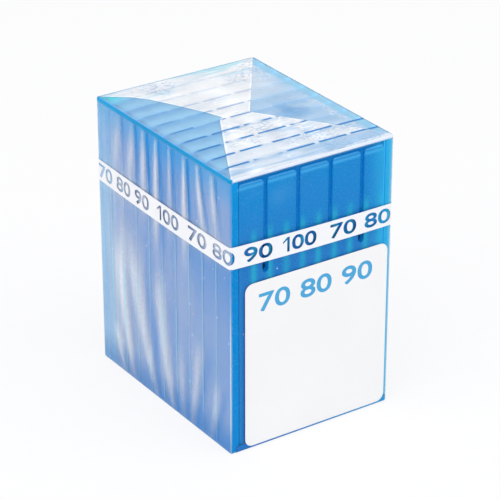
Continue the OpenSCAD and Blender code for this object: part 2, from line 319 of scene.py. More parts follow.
def cassette_depth(finish):
    """How far a place lies behind the face of its own cassette: 0 at the front, one pitch at the next."""
    return (finish.y - (FRONT - 0.02 * MM)) % PITCH


def needle_streaks(finish):
    """Soft upright streaks, one over each needle, that start at the butts and fade near the left rail."""
    off = abs((finish.x - NEEDLE_ROW) % NEEDLE_PITCH - NEEDLE_PITCH / 2)
    wander = finish.noise(220.0, 2.0, finish.stretched((1, 1, 0.25)))
    streaks = off.bell(0.85 * MM) * finish.z.step(BUTTS + 1.6 * MM, BUTTS - 2 * MM) * (wander * 0.9 + 0.25)
    return streaks * finish.x.step(-20.2 * MM, -17.5 * MM)


print(f"a needle every {NEEDLE_PITCH / MM:.2f} mm, butts {(TOP - BUTTS) / MM:.1f} mm below the top")

# %% [markdown]
# The colour of one moulding is built up in layers, as a painter would: the face, then the thick parts,
# then light that lies over them. Each layer is a small function, so it can be changed by itself. The
# stack's sides and the slits get their own, because there the light leaves the plastic.


# %% Layers of the blue
def face_colour(blue, pad, cloud, cloudy, on_front):
    """The outer face: a purer blue above, cloudy pads below, and a painted highlight along the brow."""
    on_cover = abs(blue.x).step(COVER_HALF + 0.1 * MM, COVER_HALF - 0.2 * MM) * on_front
    colour = blue.mix(blue.z.step(67 * MM, 40 * MM), paint(0, 144, 214), pad)
    colour = blue.mix(cloud * cloudy, colour, paint(56, 118, 196))
    head = blue.z.step(BROW + 0.4 * MM, BROW + 1.2 * MM) * 0.8 + (blue.z - BROW).bell(0.45 * MM) * 0.35
    colour = blue.mix(head * on_front, colour, paint(0, 150, 226))
    # Painted highlight: a light line along the pads' top edge, just over the brow
    painted_light_line = (blue.z - (BROW + 0.1 * MM)).bell(0.4 * MM) * on_cover
    return blue.mix(painted_light_line * 0.5, colour, paint(90, 185, 235))


def overlaid_light(blue, colour, cloud, on_front, right):
    """Needle streaks, a pale veil at the upper left, and the painted glow of the lit right edge."""
    colour = blue.mix((needle_streaks(blue) * on_front * 1.1).clamp(), colour, paint(40, 170, 205))
    veil = (blue.x + 12 * MM).bell(5 * MM) * (blue.z - 62 * MM).bell(3.5 * MM) * cloud.step(0.4, 0.6)
    colour = blue.mix(veil * 0.3, colour, paint(110, 185, 230))
    colour = blue.mix(right * 0.75, colour, paint(50, 182, 230))
    return blue.mix(blue.x.step(20.4 * MM, 21.9 * MM) * 0.6, colour, paint(140, 212, 242))


def side_colour(blue, depth, cloud):
    """The stack's sides: cyan towards the top, painted light that turns the far end cyan, and a painted
    light line along each joint.
    """
    high = blue.z.step(57 * MM, 67.5 * MM) * 0.85 + cloud * 0.15
    side = blue.mix(high, paint(58, 134, 206), paint(0, 150, 222))
    # Painted light: the far end is lit through from behind and turns cyan
    side = blue.mix(blue.y.step(17 * MM, 27 * MM) * 0.85, side, paint(72, 178, 236))
    # Painted light: a light cyan line at each joint, where the rounded edges let light through
    edge = abs(depth - PITCH / 2).step(2.45 * MM, 2.7 * MM) * blue.z.step(56 * MM, 44 * MM)
    return blue.mix(edge * 0.6, side, paint(120, 200, 240))


def edge_glow(blue, depth, inner, hidden, right):
    """The light that leaves in slits and joints, painted as a glow. hidden is 0 on the stack's front and
    sides.
    """
    slit = inner * depth.step(1.9 * MM, 1.3 * MM) * hidden
    glow = blue.mix(slit, (0, 0, 0, 1), blue.mix(right, paint(0, 96, 150), paint(90, 225, 255)))
    joint = abs(depth - PITCH / 2).step(2.62 * MM, 2.76 * MM) * blue.y.step(FRONT + 1 * MM, FRONT + 1.5 * MM)
    joint = joint * abs(blue.x).step(COVER_HALF, COVER_HALF + 0.6 * MM)
    return blue.mix(joint, glow, paint(30, 120, 160))


print("each cassette is", round(PITCH / MM, 2), "mm deep")

# %% [markdown]
# Covers and trays are the same plastic. A cover's face is thin and cloudy, a tray is thick and clear, so
# the two differ only in their colours and in how rough they are. The needles are polished lengthwise,
# which leaves fine upright marks in the steel.


# %% Blue plastic and needle steel
def blue_plastic(name, pad, deep, cloudy, roughness):
    """Plastic whose outer face takes the colour pad, and whose thick or inner parts take deep."""
    blue = Finish(name)
    nx, ny, nz = blue.facing_way()
    depth = cassette_depth(blue)
    inner = depth.step(0.22 * MM, 0.45 * MM)
    on_front = (ny * -1.0).step(0.5, 0.9)
    on_side = abs(nx).step(0.6, 0.9) * abs(blue.x).step(RAIL_FACE - 0.2 * MM, RAIL_FACE + 0.2 * MM)
    on_top = nz.step(0.3, 0.8) * blue.z.step(60 * MM, 64 * MM)
    # Painted light: towards the right edge the plastic glows cyan, lit through from behind
    right = blue.x.step(14 * MM, 21.5 * MM)
    cloud, grain = blue.noise(70.0, 3.0), blue.noise(2400.0, 2.0)
    colour = blue.mix(inner, face_colour(blue, pad, cloud, cloudy, on_front), deep)
    # Painted shade: front faces that lie 1.5 mm and more behind the face of their own cassette, down in its
    # recesses, are darkened
    colour = blue.mix(depth.step(1.5 * MM, 2.2 * MM) * on_front * 0.8, colour, paint(24, 62, 130))
    colour = overlaid_light(blue, colour, cloud, on_front, right)
    colour = blue.mix(on_side, colour, side_colour(blue, depth, cloud))
    # Painted light: faces that look up at the top of the stack are lighter
    colour = blue.mix(on_top, colour, paint(80, 168, 228))
    colour = blue.mix(((grain - 0.5) * 0.42).clamp(), colour, paint(140, 190, 235))
    hidden = (1.0 - on_front) * (1.0 - on_side)
    return blue.done(blue.node("ShaderNodeBsdfPrincipled", sockets={
        "Base Color": colour,
        "Emission Color": edge_glow(blue, depth, inner, hidden, right),
        "Emission Strength": 0.45,
        "Roughness": grain * 0.15 + roughness,
        "Specular IOR Level": 0.03,
        "Normal": blue.bump(grain, 0.01 * MM, 0.3)}))


def brushed_needle_steel():
    """Polished steel, a little lighter and darker in fine upright streaks."""
    steel = Finish("needle_steel")
    grain = steel.noise(900.0, 2.0, steel.stretched((1, 1, 0.02)))
    return steel.done(steel.node("ShaderNodeBsdfPrincipled", sockets={
        "Base Color": steel.mix(grain, (0.62, 0.63, 0.65, 1), (0.8, 0.8, 0.82, 1)),
        "Metallic": 1.0,
        "Roughness": grain * 0.15 + 0.14}))


def assign(node, material):
    """Gives a solid one finish in place of its own."""
    node.data.materials.clear()
    node.data.materials.append(material)


tray_plastic = blue_plastic("tray_plastic", paint(0, 136, 210), paint(0, 120, 200), 0.04, 0.3)
cover_plastic = blue_plastic("cover_plastic", paint(28, 122, 197), paint(0, 120, 198), 0.6, 0.34)
needle_steel = brushed_needle_steel()
for name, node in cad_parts.items():
    finish = {"tray": tray_plastic, "cover": cover_plastic, "needles": needle_steel}.get(name.split("_")[0])
    if finish is not None:
        assign(node, finish)
print("plastic on", 2 * CASSETTES, "mouldings")

# %% [markdown]
# On the top, the film dips into the joint between two cassettes and touches nothing there, so the joints
# stay dark: a row of dashes, parted where the trays' back walls are notched. Between them the film is
# crumpled in small patches, which read as a net of fine creases.


# %% Joints and creases
def from_joint(film):
    """How far a place lies from the nearest joint between two cassettes."""
    return abs((film.y - FRONT + PITCH / 2) % PITCH - PITCH / 2)


def joint_dashes(film):
    """1 along the joints, 0 elsewhere, at the notches of the back walls and at the pack's front edge."""
    notch = abs((film.x - 0.5 * MM) % (2 * NEEDLE_PITCH) - NEEDLE_PITCH)
    dashes = from_joint(film).step(0.52 * MM, 0.26 * MM) * notch.step(0.35 * MM, 0.8 * MM)
    dashes = dashes * film.noise(120.0, 1.0).step(0.34, 0.46)
    dashes = dashes * film.y.step(FRONT + 0.8 * MM, FRONT + 1.2 * MM) * film.x.step(-21 * MM, -18 * MM)
    return dashes * (film.y.step(20 * MM, -10 * MM) * 0.78 + 0.22)


def crinkles(film):
    """Thin crease lines in a few patches: the edges of small cells, where a slow noise is high."""
    sway = film.node("ShaderNodeTexNoise", sockets={"Vector": film.place, "Scale": 500.0, "Detail": 2.0})
    moved = film.node("ShaderNodeVectorMath", {"operation": "MULTIPLY_ADD"}, {
        0: sway.outputs["Color"], 1: (2 * MM, 2 * MM, 0), 2: film.stretched((1, 1.5, 1))})
    cells = film.node("ShaderNodeTexVoronoi", {"feature": "DISTANCE_TO_EDGE"}, {
        "Vector": moved.outputs[0], "Scale": 620.0})
    return film.value(cells, "Distance").step(0.11, 0.03) * film.noise(95.0, 2.0).step(0.53, 0.6)


print(CASSETTES - 1, "joints show through the film")

# %% [markdown]
# Film is a surface with hardly any colour. What the eye sees is what it mirrors, and where two or three
# layers lie on each other, or where it is creased, it turns milky. Each film piece therefore carries an
# attribute named haze, worked out with its shape: 0 is clear and 1 is milky. The shader breaks it up,
# and mixes a clear skin with a milky one by it.


# %% Haze and clear film
def film_haze(film, joints):
    """The piece's haze, broken up: in patches where joints are given, or else in streaks and dust."""
    haze = film.value(film.node("ShaderNodeAttribute", {"attribute_name": "haze"}), "Fac")
    if joints is not None:
        return haze * (film.noise(210.0, 4.0) * 0.5 + 0.75) + joints * 0.3
    cells = film.node("ShaderNodeTexVoronoi", {"feature": "F1"}, {"Vector": film.place, "Scale": 330.0})
    chosen = film.value(film.node("ShaderNodeSeparateColor", sockets={"Color": cells.outputs["Color"]}))
    dust = film.value(cells, "Distance").step(0.075, 0.04) * chosen.step(0.72, 0.76)
    streak = film.noise(420.0, 3.0, film.stretched((1, 1, 0.08))) * 1.2 + film.noise(2600.0, 1.0) * 0.5
    return haze * (streak + 0.15) + dust * 0.6


def clear_film(film, haze, milk_colour):
    """Clear where haze is 0 and the milk's colour where it is 1, with a faint mirror at low angles."""
    facing = film.value(film.node("ShaderNodeLayerWeight", sockets={"Blend": 0.5}), "Facing")
    clear = film.node("ShaderNodeBsdfTransparent")
    shine = film.node("ShaderNodeBsdfGlossy", sockets={"Color": (1, 1, 1, 1), "Roughness": 0.12})
    skin = film.node("ShaderNodeMixShader", sockets={
        0: (facing ** 5.0 * 0.4).clamp(), 1: clear.outputs[0], 2: shine.outputs[0]})
    milk = film.node("ShaderNodeBsdfPrincipled", sockets={
        "Base Color": milk_colour,
        "Roughness": 0.3,
        "Specular IOR Level": 0.2})
    return film.done(film.node("ShaderNodeMixShader", sockets={
        0: haze.clamp(), 1: skin.outputs[0], 2: milk.outputs[0]}))


def half(haze):
    """The haze that each skin of a film has, so that its two skins together look as hazy as asked."""
    return 1 - np.sqrt(1 - np.clip(haze, 0, 0.99))


print(f"two skins with a haze of {half(0.5):.2f} look like one with 0.50")

# %% [markdown]
# The sleeve lies tight on the plastic along its hems, where it takes the blue of what is behind it, and
# it stands off between them, where it is pale. Its far end on the left catches the light from behind and
# turns cyan, which is painted light. Along the top it turns over the edge as a rim with a painted white
# highlight.


# %% Sleeve film
def side_finish():
    """The sleeve's film: cyan lines of painted light at the joints, blue hems at the foot and the left brow,
    a painted white highlight along the rim at the top and a painted highlight down the near corner."""
    film = Finish("side_film")
    front_way = film.y * -1.0
    on_left = (film.x * -1.0).step(21 * MM, 21.4 * MM)
    # Painted light: a cyan line at each joint, where the rounded edges of the cassettes let light through
    painted_light_line = from_joint(film).step(0.34 * MM, 0.1 * MM) * film.z.step(62 * MM, 42 * MM)
    painted_light_line = painted_light_line * abs(film.x).step(21.6 * MM, 21.8 * MM) * film.noise(60.0, 1.0).step(0.3, 0.5)
    # Painted light: the far end turns cyan, lit from behind
    tone = film.mix(film.y.step(17 * MM, 27 * MM), paint(234, 242, 254), paint(186, 226, 254))
    tone = film.mix(painted_light_line, tone, paint(165, 222, 248))
    tone = film.mix(film.z.step(9 * MM, 1 * MM) * on_left * 0.5, tone, paint(60, 150, 215))
    tone = film.mix(film.z.step(60 * MM, 66.5 * MM) * on_left * 0.7, tone, paint(160, 222, 250))
    brow = film.z.step(66.9 * MM, 67.15 * MM) * on_left * film.noise(90.0, 2.0).step(0.2, 0.4)
    tone = film.mix(brow, tone, paint(0, 156, 218))
    hem = film.z.step(1.9 * MM, 1.5 * MM) * front_way.step(HALF_Y - 0.6 * MM, HALF_Y - 0.4 * MM)
    hem = hem * film.x.step(-20.5 * MM, -20.2 * MM) * film.x.step(21.6 * MM, 21.2 * MM)
    hem_blue = film.mix(film.x.step(-18 * MM, 20 * MM), paint(10, 118, 200), paint(40, 156, 218))
    tone = film.mix((hem * 4.0).clamp(), tone, hem_blue)
    # Painted highlight: where the film turns over the top edge it is made white
    rim_highlight = film.z.step(67.1 * MM, 67.5 * MM) * (1.0 - on_left)
    # Painted highlight: a light line down the near corner
    corner_highlight = (film.x + HALF_X - 0.19 * MM).bell(0.13 * MM) * film.z.step(44 * MM, 26 * MM)
    corner_highlight = corner_highlight * front_way.step(HALF_Y - 0.5 * MM, HALF_Y - 0.3 * MM)
    extra = painted_light_line * 0.3 + hem * 0.9 + brow * 0.75 + rim_highlight * 0.85 + corner_highlight * 0.5
    return clear_film(film, film_haze(film, None) + extra, tone)


side_film = side_finish()
print(side_film.name, "has", len(side_film.node_tree.nodes), "nodes")

# %% [markdown]
# The top shows the tucked ends, left and right, and two flaps over them. The tops of the cassettes read
# as strips under the ends, with painted shade towards the back of each. The flaps are thick and nearly
# white, with blue patches where they touch.


# %% Top film
def end_finish():
    """The tucked ends: a strip for each cassette, with painted shade towards its back. The left end is blue
    with a cyan tuck at its far corner. The right end is whiter, with one blue blot, painted highlight on its
    creases and a cyan rim."""
    film = Finish("end_film")
    on_right = film.x.step(-6 * MM, 8 * MM)
    joints = joint_dashes(film) * (1.0 - on_right * film.y.step(-17 * MM, -10 * MM))
    # Painted shade: each cassette's convex top is lighter at its front and darker towards its back
    strip_shade = cassette_depth(film).step(1.5 * MM, PITCH)
    left = film.mix(strip_shade * 0.6, paint(164, 218, 250), paint(96, 170, 230))
    right = film.mix(strip_shade * 0.45, paint(196, 226, 250), paint(140, 200, 242))
    blot = (film.x - 10.5 * MM).bell(4.5 * MM) * (film.y + 4 * MM).bell(5 * MM)
    blot = blot * film.noise(170.0, 3.0).step(0.38, 0.58)
    right = film.mix(blot * 0.8, right, paint(112, 178, 230))
    pale = film.y.step(2 * MM, 12 * MM) * film.x.step(19 * MM, 14 * MM)
    right = film.mix(pale * 0.6, right, paint(242, 249, 255))
    # Painted highlight: white lines along the real crinkles of the right end
    right = film.mix(crinkles(film) * 0.8, right, paint(246, 252, 255))
    tone = film.mix(on_right, left, right)
    tone = film.mix(film.x.step(18.4 * MM, 19.4 * MM) * 0.9, tone, paint(160, 222, 250))
    tuck = (film.x + 19.5 * MM).bell(2.5 * MM) * (film.y - 25.5 * MM).bell(3.5 * MM)
    tone = film.mix(tuck, tone, paint(90, 228, 248))
    return clear_film(film, film_haze(film, joints), film.mix(joints, tone, paint(4, 122, 196)))


def flap_finish():
    """The flaps: white, with painted shade across each cassette, blue patches, crumpled nets and thin
    creases with a painted white highlight. Near the front edge the film is pulled into long streaks, and
    near the back edge it has a painted cyan glint."""
    film = Finish("flap_film")
    joints = joint_dashes(film)
    strip_shade = cassette_depth(film).step(1.0 * MM, PITCH)
    patch = film.noise(150.0, 5.0, film.stretched((0.6, 1.6, 1))).step(0.5, 0.66)
    # Painted shade towards the back of each cassette's strip, with blue patches where the flap touches
    shade_and_patches = (strip_shade * 0.3 + patch * 0.5) * (film.y.step(14 * MM, -16 * MM) * 0.6 + 0.4)
    tone = film.mix(shade_and_patches.clamp(), paint(250, 252, 255), paint(178, 214, 246))
    tone = film.mix(crinkles(film) * 0.55, tone, paint(140, 180, 224))
    # Painted highlight: thin white lines along creases
    crease_highlight = abs(film.noise(60.0, 3.0, film.stretched((0.8, 2.4, 1))) - 0.5).step(0.014, 0.004)
    tone = film.mix(crease_highlight, tone, paint(255, 255, 255))
    tone = film.mix(film.y.step(-8 * MM, -26 * MM) * 0.2, tone, paint(176, 214, 246))
    # Painted highlight: a cyan glint near the back edge
    glint = film.noise(110.0, 2.0, film.stretched((0.35, 2.2, 1))).step(0.54, 0.62)
    tone = film.mix(glint * film.y.step(15 * MM, 25 * MM) * 0.7, tone, paint(172, 234, 250))
    pull = film.noise(150.0, 3.0, film.stretched((0.16, 2.2, 1))).step(0.5, 0.6)
    tone = film.mix(pull * film.y.step(-19 * MM, -25 * MM) * 0.6, tone, paint(130, 190, 236))
    return clear_film(film, film_haze(film, joints), film.mix(joints, tone, paint(0, 122, 194)))


end_film, flap_film = end_finish(), flap_finish()
print("top film has", len(end_film.node_tree.nodes) + len(flap_film.node_tree.nodes), "nodes")

# %% [markdown]
# Every film piece is a grid: rows by columns of points, each joined to its neighbours. The points are
# whole arrays, so a shape stays a plain formula, and its haze is worked out beside it. A Solidify
# modifier then gives the sheet its thickness.

# %% Putting a grid of points into a mesh
def sheet_object(name, points, haze, closed=False, flip=False):
    """Rows by columns of points as a mesh of quads; closed joins the last column to the first."""
    rows, columns = points.shape[:2]
    index = np.arange(rows * columns).reshape(rows, columns)
    right = np.roll(index, -1, axis=1) if closed else index[:, 1:]
    left = index if closed else index[:, :-1]
    quads = np.stack([left[:-1], right[:-1], right[1:], left[1:]], axis=-1).reshape(-1, 4)
    if flip:
        quads = quads[:, ::-1]
    mesh = bpy.data.meshes.new(name)
    mesh.from_pydata(points.reshape(-1, 3).tolist(), [], quads.tolist())
    mesh.polygons.foreach_set("use_smooth", np.ones(len(quads), bool))
    layer = mesh.attributes.new("haze", "FLOAT", "POINT")
    layer.data.foreach_set("value", np.clip(haze, 0, 1).astype(np.float32).ravel())
    thing = bpy.data.objects.new(name, mesh)
    scene.collection.objects.link(thing)
    return thing


def dress(thing, finish):
    """Gives a new piece its finish, its body and its material slot."""
    thing.data.materials.append(finish)
    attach(thing, BODY)
    return thing


def thicken(thing, thickness):
    """Gives a sheet a film's or a paper's thickness, towards its outer side."""
    wall = thing.modifiers.new("wall", "SOLIDIFY")
    wall.thickness, wall.offset = thickness, 1.0
    return thing


def film_piece(name, sheet, finish, **options):
    """A piece of film from its grid and haze, with its thickness and finish."""
    points, haze = sheet
    return dress(thicken(sheet_object(name, points, half(haze), **options), FILM), finish)


print(f"film is {FILM / MM:.2f} mm thick")

# %% [markdown]
# The film's sleeve is one ring shape carried up the pack. A point on it is found from its way round
# the ring and its height. Folds are added as smooth ridges that stand off the surface, each with its
# own foot, head, height and width, so the sleeve stays one closed skin.

# %% Ring round the pack
# The radius of the sleeve's corners, and the height of the printed band's middle
RING_R = 0.65 * MM
BAND_Z = 49.25 * MM


def ring(way, half_x, half_y, radius):
    """Points and outward directions on a rectangle with round corners.

    way runs from 0 to 1 from the front left corner: along the front, the right side, the back and
    the left side. Each side is a straight run and then a quarter circle."""
    runs = np.array([2 * (half_x - radius), 2 * (half_y - radius)] * 2)
    arc = math.pi * radius / 2
    ends = np.cumsum(runs + arc)
    at = (np.asarray(way) % 1.0) * ends[-1]
    side = np.minimum(np.searchsorted(ends, at, side="right"), 3)
    along = at - (ends - runs - arc)[side]
    turn = np.clip((along - runs[side]) / radius, 0, math.pi / 2)
    straight = np.minimum(along, runs[side])
    start = np.array([[-1, -1], [1, -1], [1, 1], [-1, 1]], float)[side]
    heading = np.array([[1, 0], [0, 1], [-1, 0], [0, -1]], float)[side]
    normal = np.array([[0, -1], [1, 0], [0, 1], [-1, 0]], float)[side]
    out = normal * np.cos(turn)[..., None] + heading * np.sin(turn)[..., None]
    middle = start * [half_x - radius, half_y - radius] + heading * straight[..., None]
    return middle + out * radius, out


def ridge(across, width):
    """A smooth ridge: 1 on its crest, falling as a bell curve over its width."""
    return np.exp(-(across / width) ** 2)


def ring_length(half_x, half_y, radius):
    return 4 * (half_x + half_y) - (8 - 2 * math.pi) * radius


print("ring is", round(1000 * ring_length(HALF_X, HALF_Y, RING_R)), "mm round")

# %% [markdown]
# The folds of the left side were read off the real pack: short ones hang from the upper edge at the
# joints between cassettes, and long ones sweep from the middle of the side to its lower edge. The
# other side is given the same folds from back to front.

# %% Folds of the sleeve
# Depth in mm behind the front at the head and at the foot, head height, foot height, width at the
# head and at the foot, stand-off and haze
UPPER_FOLDS = [
    (45.5, 49.0, 67.5, 48, 0.8, 2.4, 0.20, 0.30),
    (39.5, 43.0, 67.5, 44, 0.8, 2.6, 0.25, 0.50),
    (34.8, 35.8, 67.5, 40, 0.7, 2.1, 0.25, 0.60),
    (29.6, 30.8, 67.5, 32, 0.6, 1.9, 0.25, 0.65),
    (24.0, 24.4, 67.5, 38, 0.5, 1.5, 0.22, 0.55),
    (18.0, 18.4, 67.5, 34, 0.6, 2.0, 0.25, 0.65),
    (12.8, 8.0, 67.5, 42, 0.6, 1.6, 0.22, 0.55),
    (7.0, 4.5, 67, 48, 0.7, 1.5, 0.18, 0.45),
]
LOWER_FOLDS = [
    (49.0, 45.0, 14, 0, 1.7, 0.7, 0.22, 0.34),
    (47.5, 40.7, 40, 0, 3.2, 0.9, 0.25, 0.36),
    (42.0, 30.7, 44, 0, 4.8, 1.0, 0.28, 0.44),
    (30.0, 23.7, 38, 0, 3.6, 1.0, 0.26, 0.38),
    (20.0, 19.2, 20, 0, 2.0, 0.8, 0.18, 0.22),
    (12.5, 15.9, 26, 0, 2.6, 1.0, 0.22, 0.34),
    (5.0, 8.0, 18, 0, 2.2, 0.9, 0.20, 0.30),
]


def left_folds(depth, height):
    """Stand-off in metres and haze of the folds at a depth and height, both in mm.

    A fold's middle moves from its head to its foot along a curve that is steep at the head.
    Its strength rises fast below the head and fades over its lower run."""
    lift, milk = np.zeros_like(depth), np.zeros_like(depth)
    for upper, folds in ((True, UPPER_FOLDS), (False, LOWER_FOLDS)):
        for head, foot, top, low, wide_top, wide_low, tall, white in folds:
            t = np.clip((top - height) / (top - low), 0, 1)
            middle = head + (foot - head) * t ** 1.5
            rise = np.clip(t / (0.05 if upper else 0.35), 0, 1)
            fade = np.clip((1 - t) / (0.75 if upper else 0.04), 0, 1)
            strength = (rise * rise * (3 - 2 * rise)) * (fade * fade * (3 - 2 * fade))
            width = wide_top + (wide_low - wide_top) * t
            shape = ridge(depth - middle, width) * strength
            lift += tall * MM * shape * np.clip((height - 0.5) / 4, 0, 1)
            # The haze rises along each fold, milkier film with painted light on it, and falls on one side of
            # it as painted shade
            milk += white * (shape - 0.4 * ridge(depth - middle + 1.6 * width, 0.8 * width) * strength)
    # The band presses the folds flat, most at a height of 48.9 mm
    return lift * (1 - 0.85 * ridge(height - 48.9, 5)), milk


print(len(UPPER_FOLDS) + len(LOWER_FOLDS), "folds on each side")

# %% [markdown]
# The sleeve is the ring at each height, moved outwards by the folds. Its first and last rows turn inwards
# over the pack's edges, so no raw edge is seen. Its haze adds up what makes film pale: the folds with
# their painted light and shade, slack, painted light at the far end, and paler film under the band.


# %% Sleeve
def sleeve_points(columns, rows):
    """The sleeve's grid and haze: ring point plus outward direction times (fold height less inset)."""
    way = np.linspace(0, 1, columns, endpoint=False)
    turn_r = 0.3 * MM
    bend = np.linspace(0, math.pi / 2, 4)
    height = np.concatenate([
        FILM + turn_r * (1 - np.cos(bend)), np.linspace(2 * turn_r, TOP - 2 * turn_r, rows),
        TOP - FILM - turn_r * (1 - np.cos(bend[::-1]))])
    inset = np.concatenate([turn_r * (1 - np.sin(bend)), np.zeros(rows), turn_r * (1 - np.sin(bend[::-1]))])
    base, out = ring(way, HALF_X - FILM, HALF_Y - FILM, RING_R)
    height = height[:, None] * np.ones(columns)
    depth = (base[:, 1] + HALF_Y) / MM * np.ones((len(height), 1))
    on_left, on_right = np.clip(-out[:, 0], 0, 1), np.clip(out[:, 0], 0, 1)
    lift, milk = left_folds(depth, height / MM)
    right_lift, right_milk = left_folds(2 * HALF_Y / MM - depth, height / MM)
    lift = lift * on_left + right_lift * on_right
    # Slack film is paler: a little at the top, most below the band, and less towards the near corner
    slack = 0.09 + 0.09 * np.clip((TOP - height) / (10 * MM), 0, 1)
    slack = slack + 0.18 * np.clip((50 * MM - height) / (20 * MM), 0, 1) * np.clip(height / (9 * MM), 0, 1)
    near = np.clip((20 - depth) / 12, 0, 1)
    slack = slack + near * np.where(height > BAND_Z, 0.14, -0.1)
    # The far end catches light, and the digits of the band lie on pale film
    far = np.clip((depth - 32) / 24, 0, 1) ** 1.5 * on_left
    under_band = ridge(height - BAND_Z, 2.6 * MM) * on_left
    haze = milk * on_left + right_milk * on_right + slack * np.maximum(on_left, on_right)
    haze = haze + 0.45 * far + 0.35 * under_band
    xy = base + out * (lift - inset[:, None])[..., None]
    return np.dstack([xy[..., 0], xy[..., 1], height]), haze


sleeve = film_piece("film_sleeve", sleeve_points(400, 110), side_film, closed=True)
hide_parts("film_wrap")
print("sleeve has", len(sleeve.data.polygons), "quads")

# %% [markdown]
# Film on the top is never quite flat. It swells a little between the pack's edges, dips into the joints
# between the cassettes, and is crumpled at chance places.

# %% Swell, joints and ripples of the top
ROOF = TOP - 3 * FILM


def swell(x, y):
    """A low dome over the cassettes, which falls as the fourth power of x and of y."""
    u, v = np.clip(np.abs(x) / HALF_X, 0, 1), np.clip(np.abs(y) / HALF_Y, 0, 1)
    return 0.25 * MM * (1 - u ** 4) * (1 - v ** 4)


def joint_dip(y):
    """1 over a joint between two cassettes, falling as a bell curve beside it."""
    place = (y - FRONT) / PITCH
    return ridge((place - np.round(place)) * PITCH, 0.5 * MM)


def ripple(x, y, seed, waves, size):
    """A sum of seeded sine waves in random directions, between about -1 and 1: a cheap crinkle."""
    rng = np.random.default_rng(seed)
    total = np.zeros_like(x)
    for _ in range(waves):
        angle, phase = rng.uniform(0, 2 * math.pi, 2)
        rate = 2 * math.pi / (size * rng.uniform(0.6, 1.8))
        total += np.sin(rate * (x * math.cos(angle) + y * math.sin(angle)) + phase)
    return total / math.sqrt(waves)


print(f"the top's lowest film lies {(TOP - ROOF) / MM:.2f} mm below the pack's top")

# %% [markdown]
# The top is folded like an envelope: the ends are tucked in, then a flap from the back and a flap
# from the front are laid over them and sealed where they lap. Each layer is a grid between two side
# edges, one film's thickness above the last. The edges follow lines read off the pack, in mm from its
# front left corner.

# %% Top layers
FRONT_LEFT_EDGE = [(0.4, 0.5), (14.0, 8.0), (27.3, 15.5), (28.3, 16.2)]
FRONT_RIGHT_EDGE = [(0.4, 43.5), (2.5, 42.6), (14.0, 33.8), (26.5, 24.8), (28.3, 23.8)]
BACK_LEFT_EDGE = [(26.5, 18.0), (33.3, 15.7), (40.5, 12.3), (46.8, 9.2), (50.8, 6.3), (55.4, 0.5)]
BACK_RIGHT_EDGE = [(26.5, 23.0), (33.7, 28.1), (44.6, 35.9), (55.4, 43.5)]


def top_sheet(columns, rows):
    """Both tucked ends as one sheet: the roof's height plus the swell, less the dip at the joints."""
    u, v = np.meshgrid(np.linspace(-1, 1, columns), np.linspace(-1, 1, rows))
    x, y = u * (HALF_X - 0.32 * MM), v * (HALF_Y - 0.32 * MM)
    edge = np.maximum(ridge(1 - u, 0.012), ridge(1 - np.abs(v), 0.01)) - 2 * ridge(1 + u, 0.05)
    z = ROOF + swell(x, y) - 0.05 * MM * joint_dip(y)
    crinkle = np.clip(ripple(x, y, 4, 9, 3 * MM) - 1.1, 0, 1) * np.clip(x / HALF_X, 0, 1)
    return np.dstack([x, y, z]), 0.8 + 0.2 * edge + 0.1 * crinkle


def flap_sheet(left_edge, right_edge, tip_first, lift, columns, rows, seed):
    """A flap between two side edges, each a list of depth and place across in mm.

    The rows run from the front to the back. tip_first says that the free tip is the first row."""
    u, v = np.meshgrid(np.linspace(0, 1, columns), np.linspace(0, 1, rows))
    depth = left_edge[0][0] + (left_edge[-1][0] - left_edge[0][0]) * v
    left = np.interp(depth, *zip(*left_edge))
    right = np.interp(depth, *zip(*right_edge))
    free = (1 - v) if tip_first else v
    bow = 0.9 * np.sin(math.pi * u) * free ** 8 * (-1 if tip_first else 1)
    x, y = (left + (right - left) * u) * MM - HALF_X, (depth + bow) * MM - HALF_Y
    z = ROOF + lift + swell(x, y) - 0.04 * MM * joint_dip(y)
    # Painted highlight: the flap's curled edges catch the light, so they are made hazier
    rim_highlight = np.maximum(ridge(u * (right - left), 0.35), ridge((1 - u) * (right - left), 0.35))
    # A flap is about 27 mm long, and its tip has the painted highlight too
    rim_highlight = np.maximum(rim_highlight, ridge((1 - free) * 27, 0.4))
    patches = np.clip(ripple(x, y, seed, 7, 9 * MM) * 0.5, -1, 1)
    crinkle = np.clip(ripple(x, y, seed + 1, 12, 1.6 * MM) - 1.2, 0, 1)
    haze = 0.9 + 0.1 * patches + 0.25 * rim_highlight + 0.06 * crinkle
    return np.dstack([x, y, z]), haze


back_flap = flap_sheet(BACK_LEFT_EDGE, BACK_RIGHT_EDGE, True, 1.1 * FILM, 140, 110, 21)
front_flap = flap_sheet(FRONT_LEFT_EDGE, FRONT_RIGHT_EDGE, False, 2.2 * FILM, 140, 110, 35)
film_piece("film_top_ends", top_sheet(150, 200), end_film)
film_piece("film_flap_back", back_flap, flap_film)
film_piece("film_flap_front", front_flap, flap_film)
print("top has two tucked ends and two flaps")

# %% [markdown]
# The underside isn't seen in the photo. One plain sheet closes it, and the lap of its flaps is a milky
# strip.


# %% Foot
def foot_sheet(columns, rows):
    """A flat grid just above the floor, hazier as a bell curve round its middle line."""
    u, v = np.meshgrid(np.linspace(-1, 1, columns), np.linspace(-1, 1, rows))
    x, y = u * (HALF_X - 0.32 * MM), v * (HALF_Y - 0.32 * MM)
    z = np.full_like(x, FILM + 0.01 * MM)
    return np.dstack([x, y, z]), 0.3 + 0.3 * ridge(y, 1.5 * MM)


foot = film_piece("film_foot", foot_sheet(30, 40), side_film, flip=True)
print("foot has", len(foot.data.polygons), "quads")

# %% [markdown]
# The band is white print on clear film. Its numbers are left clear, so the blue shows through them, and
# so are two bars where the strip laps at the back. A number's outline comes
# from the built-in font, and it is made a little bolder, because the real print is bold.


